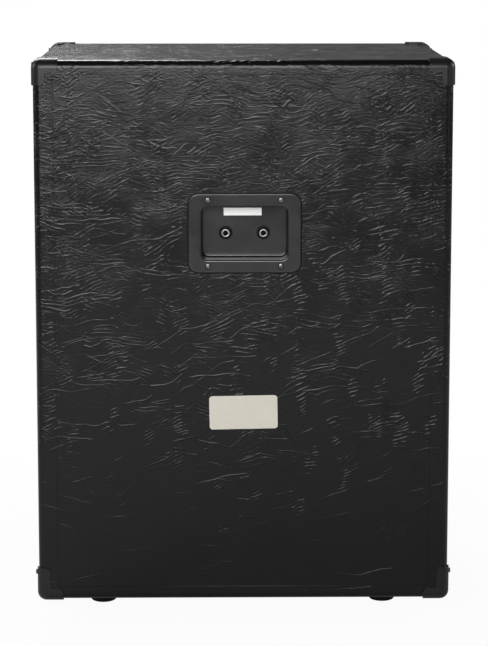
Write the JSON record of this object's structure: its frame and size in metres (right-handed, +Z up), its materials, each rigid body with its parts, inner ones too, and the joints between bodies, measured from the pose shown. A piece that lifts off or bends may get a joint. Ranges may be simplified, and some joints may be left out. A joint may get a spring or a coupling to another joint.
{
  "type": "guitar speaker cabinet",
  "caption": "Upright closed-back guitar speaker cabinet in creased black vinyl, with stacked drivers behind a pull-off grille, a recessed jack plate, swinging side handles and rubber feet.",
  "frame": {"origin": "on the floor under the middle of the cabinet, level with the bottoms of the feet", "axes": "+Z up, +Y out of the back towards the jack plate, so the grille faces -Y; +X is to the right when the grille is looked at"},
  "size_m": [0.528, 0.364, 0.713],
  "materials": {
    "plywood": "satin",
    "baffle_paint": "matte",
    "grille_wood": "matte",
    "vinyl": "satin",
    "corner_plastic": "satin",
    "black_screw": "gloss",
    "zinc": "satin",
    "foot_rubber": "matte",
    "plate_plastic": "matte",
    "jack_plastic": "satin",
    "jack_chrome": "polished",
    "contact_brass": "satin",
    "sticker_paper": "matte",
    "label_foil": "satin",
    "handle_steel": "satin",
    "bail_steel": "satin",
    "grip_rubber": "matte",
    "basket_paint": "satin",
    "motor_steel": "satin",
    "ferrite": "matte",
    "cone_paper": "matte",
    "edge_cloth": "matte",
    "coil_copper": "satin",
    "gasket_cork": "matte",
    "grille_weave": "matte",
    "piping_plastic": "satin",
    "hook_loop": "matte"
  },
  "bodies": {
    "cabinet": {"top_panel": "plywood", "bottom_panel": "plywood", "left_side_panel": "plywood", "right_side_panel": "plywood", "back_panel": "plywood", "baffle_cleats": "plywood", "baffle_board": "baffle_paint", "vinyl_wrap": "vinyl", "vinyl_back_sheet": "vinyl", "upper_rear_corners": "corner_plastic", "upper_front_corners": "corner_plastic", "lower_rear_corners": "corner_plastic", "lower_front_corners": "corner_plastic", "corner_screws": "black_screw", "jack_plate_screws": "black_screw", "handle_screws": "black_screw", "baffle_screws": "black_screw", "foot_washers": "zinc", "foot_screws": "zinc", "speaker_bolts": "zinc", "speaker_tee_nuts": "zinc", "feet": "foot_rubber", "jack_plate": "plate_plastic", "jack_bodies": "jack_plastic", "jack_nuts": "jack_plastic", "input_jack_ferrule": "jack_chrome", "through_jack_ferrule": "jack_chrome", "jack_contacts": "contact_brass", "speaker_terminals": "contact_brass", "serial_sticker": "sticker_paper", "rating_label": "label_foil", "left_handle_dish": "handle_steel", "right_handle_dish": "handle_steel", "upper_speaker_basket": "basket_paint", "lower_speaker_basket": "basket_paint", "speaker_top_plates": "motor_steel", "speaker_yokes": "motor_steel", "upper_speaker_magnet": "ferrite", "lower_speaker_magnet": "ferrite", "upper_speaker_surround": "edge_cloth", "lower_speaker_surround": "edge_cloth", "upper_speaker_spider": "edge_cloth", "lower_speaker_spider": "edge_cloth", "speaker_gaskets": "gasket_cork", "hook_pads": "hook_loop"},
    "upper_cone": {"upper_speaker_cone": "cone_paper", "upper_speaker_dust_cap": "cone_paper", "upper_speaker_voice_coil": "coil_copper"},
    "lower_cone": {"lower_speaker_cone": "cone_paper", "lower_speaker_dust_cap": "cone_paper", "lower_speaker_voice_coil": "coil_copper"},
    "left_bail": {"left_handle_bail": "bail_steel", "left_handle_grip": "grip_rubber"},
    "right_bail": {"right_handle_bail": "bail_steel", "right_handle_grip": "grip_rubber"},
    "grille": {"grille_stiles": "grille_wood", "grille_rails": "grille_wood", "grille_cloth": "grille_weave", "grille_piping": "piping_plastic", "loop_pads": "hook_loop"}
  },
  "joints": [
    {"name": "upper_cone_travel", "type": "slide", "parent": "cabinet", "child": "upper_cone", "axis": [0, -1, 0], "range_m": [-0.003, 0.003], "stiffness_N_per_m": 8000, "deforming": ["upper_speaker_surround", "upper_speaker_spider"]},
    {"name": "lower_cone_travel", "type": "slide", "parent": "cabinet", "child": "lower_cone", "axis": [0, -1, 0], "range_m": [-0.003, 0.003], "stiffness_N_per_m": 8000, "deforming": ["lower_speaker_surround", "lower_speaker_spider"]},
    {"name": "left_bail_swing", "type": "hinge", "parent": "cabinet", "child": "left_bail", "pos_m": [-0.252, -0.02, 0.436], "axis": [0, 1, 0], "range_deg": [0, 90]},
    {"name": "right_bail_swing", "type": "hinge", "parent": "cabinet", "child": "right_bail", "pos_m": [0.252, -0.02, 0.436], "axis": [0, -1, 0], "range_deg": [0, 90]},
    {"name": "grille_pull", "type": "slide", "parent": "cabinet", "child": "grille", "axis": [0, -1, 0], "range_m": [0, 0.06]}
  ]
}
